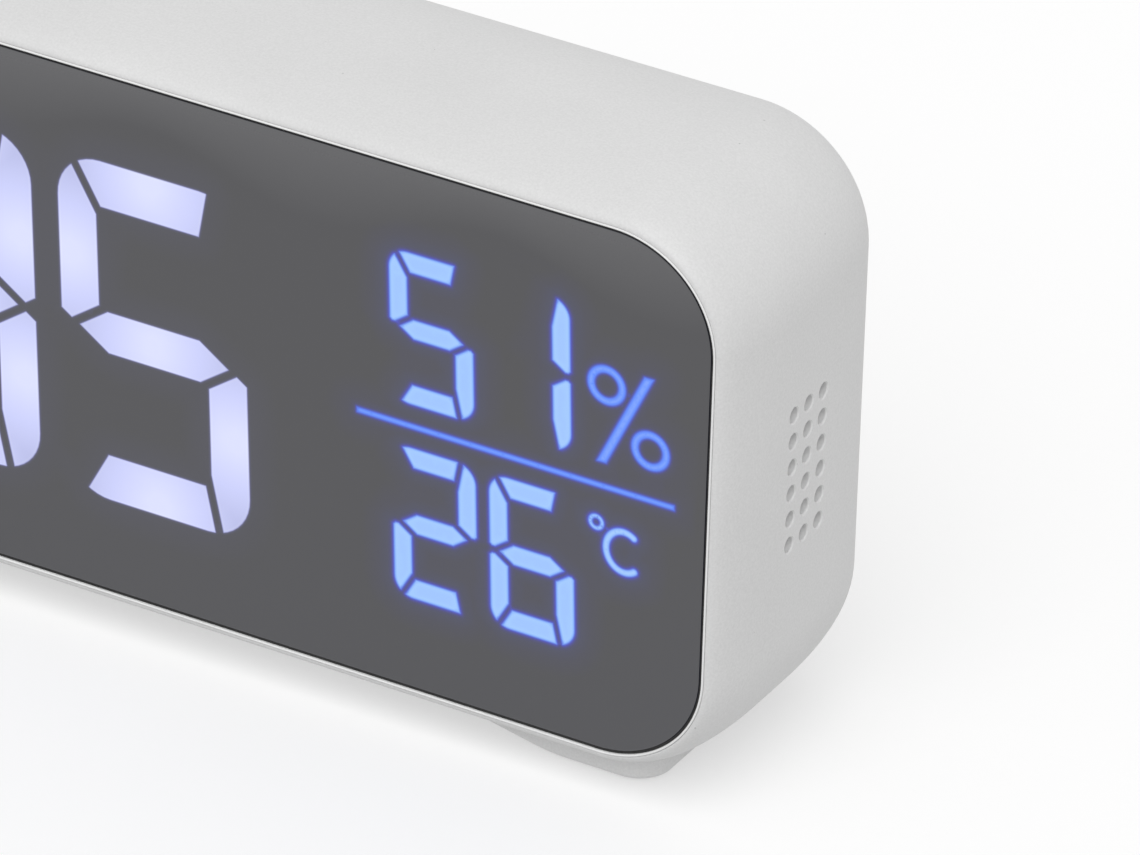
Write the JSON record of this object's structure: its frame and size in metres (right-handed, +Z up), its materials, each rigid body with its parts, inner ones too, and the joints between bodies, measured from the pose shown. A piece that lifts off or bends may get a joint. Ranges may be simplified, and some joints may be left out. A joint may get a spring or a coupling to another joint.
{
  "type": "digital alarm clock",
  "caption": "Free-standing table alarm clock with a swelling white sleeve case, a half-mirror front with lit digits, side vents, rear keys, a charging inlet and a hinged battery door.",
  "frame": {"origin": "the point of the standing plane under the middle of the clock's box", "axes": "+X to the viewer's right along the width, +Y from the front panel towards the back, +Z up"},
  "size_m": [0.1968, 0.0362, 0.0793],
  "materials": {
    "white_plastic": "fine matt moulded texture",
    "smoked_mirror": "polished half-mirror coating",
    "black_foam": "closed foam",
    "clear_film": "frosted",
    "dark_plastic": "moulded",
    "green_board": "solder mask",
    "flex_white": "satin",
    "copper_foil": "plain foil",
    "key_plastic": "fine matt moulded texture",
    "switch_black": "moulded",
    "plunger_brown": "moulded",
    "plain_steel": "bright plated",
    "cell_jacket": "printed jacket, bare ends",
    "pad_rubber": "matt"
  },
  "bodies": {
    "housing": {"case_shell": "white_plastic", "front_panel": "smoked_mirror", "panel_tape": "black_foam", "diffuser_film": "clear_film", "reflector_frame": "dark_plastic", "display_board": "green_board", "flex_cable": "flex_white", "touch_foil": "copper_foil", "climate_sensor": "white_plastic", "rear_cover": "white_plastic", "main_board": "green_board", "buzzer": "switch_black", "usb_socket": "plain_steel", "mode_switch": "switch_black", "set_switch": "switch_black", "up_switch": "switch_black", "down_switch": "switch_black", "alarm_switch": "switch_black", "battery_1": "cell_jacket", "battery_2": "cell_jacket", "battery_3": "cell_jacket", "contact_single_left": "plain_steel", "contact_double_left": "plain_steel", "contact_single_right": "plain_steel", "contact_double_right": "plain_steel", "cover_screw_1": "plain_steel", "cover_screw_2": "plain_steel", "cover_screw_3": "plain_steel", "cover_screw_4": "plain_steel", "display_screw_1": "plain_steel", "display_screw_2": "plain_steel", "display_screw_3": "plain_steel", "display_screw_4": "plain_steel", "main_screw_1": "plain_steel", "main_screw_2": "plain_steel", "main_screw_3": "plain_steel", "rubber_pad_1": "pad_rubber", "rubber_pad_2": "pad_rubber", "rubber_pad_3": "pad_rubber", "rubber_pad_4": "pad_rubber"},
    "mode_button": {"mode_key": "key_plastic", "mode_plunger": "plunger_brown"},
    "set_button": {"set_key": "key_plastic", "set_plunger": "plunger_brown"},
    "up_button": {"up_key": "key_plastic", "up_plunger": "plunger_brown"},
    "down_button": {"down_key": "key_plastic", "down_plunger": "plunger_brown"},
    "alarm_button": {"alarm_key": "key_plastic", "alarm_plunger": "plunger_brown"},
    "door": {"battery_door": "white_plastic"}
  },
  "joints": [
    {"name": "mode_press", "type": "slide", "parent": "housing", "child": "mode_button", "axis": [0, -1, 0], "range_m": [0, 0.0008], "stiffness_N_per_m": 1500},
    {"name": "set_press", "type": "slide", "parent": "housing", "child": "set_button", "axis": [0, -1, 0], "range_m": [0, 0.0008], "stiffness_N_per_m": 1500},
    {"name": "up_press", "type": "slide", "parent": "housing", "child": "up_button", "axis": [0, -1, 0], "range_m": [0, 0.0008], "stiffness_N_per_m": 1500},
    {"name": "down_press", "type": "slide", "parent": "housing", "child": "down_button", "axis": [0, -1, 0], "range_m": [0, 0.0008], "stiffness_N_per_m": 1500},
    {"name": "alarm_press", "type": "slide", "parent": "housing", "child": "alarm_button", "axis": [0, -1, 0], "range_m": [0, 0.0008], "stiffness_N_per_m": 1500},
    {"name": "door_hinge", "type": "hinge", "parent": "housing", "child": "door", "pos_m": [0, 0.01645, 0.01495], "axis": [-1, 0, 0], "range_deg": [0, 75]}
  ]
}
